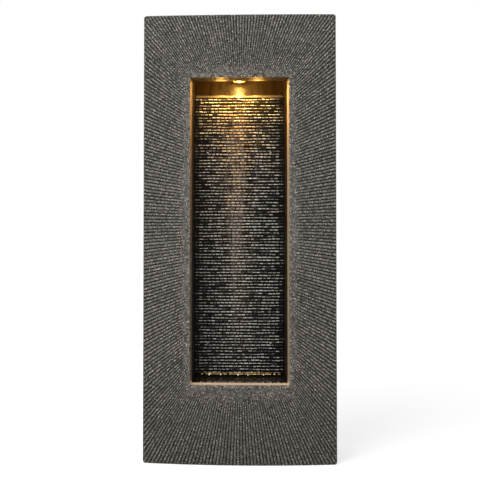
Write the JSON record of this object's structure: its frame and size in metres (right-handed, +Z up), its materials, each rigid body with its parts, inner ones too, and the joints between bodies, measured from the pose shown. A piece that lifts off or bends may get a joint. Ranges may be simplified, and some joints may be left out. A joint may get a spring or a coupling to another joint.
{
  "type": "garden wall fountain",
  "caption": "Tall wall-hung fountain: ribbed moulded surround round a lit niche where water runs down stacked slate ledges into a hidden basin with a pump.",
  "frame": {"origin": "midway between the two wall-screw keyholes of the hanger bar, on the wall plane", "axes": "+Y into the wall, +Z up, +X to the right seen from the front"},
  "size_m": [0.356, 0.1329, 0.828],
  "materials": {
    "surround": "cast resin with a sandy stone grain",
    "black_plastic": "moulded, satin",
    "slate": "split slate, wet",
    "trough_plastic": "moulded, polished",
    "pump_plastic": "moulded, fine grain",
    "fitting_plastic": "moulded",
    "regulator_plastic": "moulded",
    "rotor_ferrite": "plastic-bonded ferrite",
    "shaft_ceramic": "ground",
    "black_rubber": "matt",
    "hose_vinyl": "clear vinyl",
    "lead_sheath": "smooth sheath",
    "steel": "stainless",
    "galvanised_steel": "zinc plated",
    "lamp_metal": "anodised dark bronze",
    "lamp_lens": "warm clear",
    "lamp_board": "white mask with warm chips"
  },
  "bodies": {
    "fountain": {"basin_plug": "black_rubber", "bracket_screws": "steel", "drain_grate": "black_plastic", "frame_shell": "surround", "gland_nut": "fitting_plastic", "hanger_bar": "galvanised_steel", "hanger_screws": "steel", "hose_clamps": "steel", "hose_clip_screws": "steel", "hose_clips": "fitting_plastic", "impeller_cover": "pump_plastic", "impeller_cover_screws": "steel", "intake_screen": "pump_plastic", "lamp_lead": "lead_sheath", "lead_clips": "fitting_plastic", "lead_gland": "fitting_plastic", "led_bezel": "lamp_metal", "led_board": "lamp_board", "led_bracket": "steel", "led_gasket": "black_rubber", "led_housing": "lamp_metal", "led_lens": "lamp_lens", "liner_screws": "steel", "niche_liner": "black_plastic", "pump_body": "pump_plastic", "pump_gasket": "black_rubber", "pump_lead": "lead_sheath", "pump_nozzle": "fitting_plastic", "pump_shaft": "shaft_ceramic", "rear_cover": "black_plastic", "rear_cover_screws": "steel", "reservoir_basin": "black_plastic", "riser_hose": "hose_vinyl", "shaft_bushes": "black_rubber", "slate_panel": "slate", "slate_screws": "steel", "spill_trough": "trough_plastic", "spout_nut": "fitting_plastic", "suction_feet": "black_rubber", "water_spout": "fitting_plastic"},
    "rotor": {"pump_rotor": "rotor_ferrite"},
    "regulator": {"flow_regulator": "regulator_plastic"}
  },
  "joints": [
    {"name": "rotor_spin", "type": "hinge", "parent": "fountain", "child": "rotor", "pos_m": [0.03, -0.038, -0.74], "axis": [1, 0, 0], "continuous": true},
    {"name": "regulator_turn", "type": "hinge", "parent": "fountain", "child": "regulator", "pos_m": [-0.01, -0.038, -0.74], "axis": [1, 0, 0], "range_deg": [0, 90]}
  ]
}
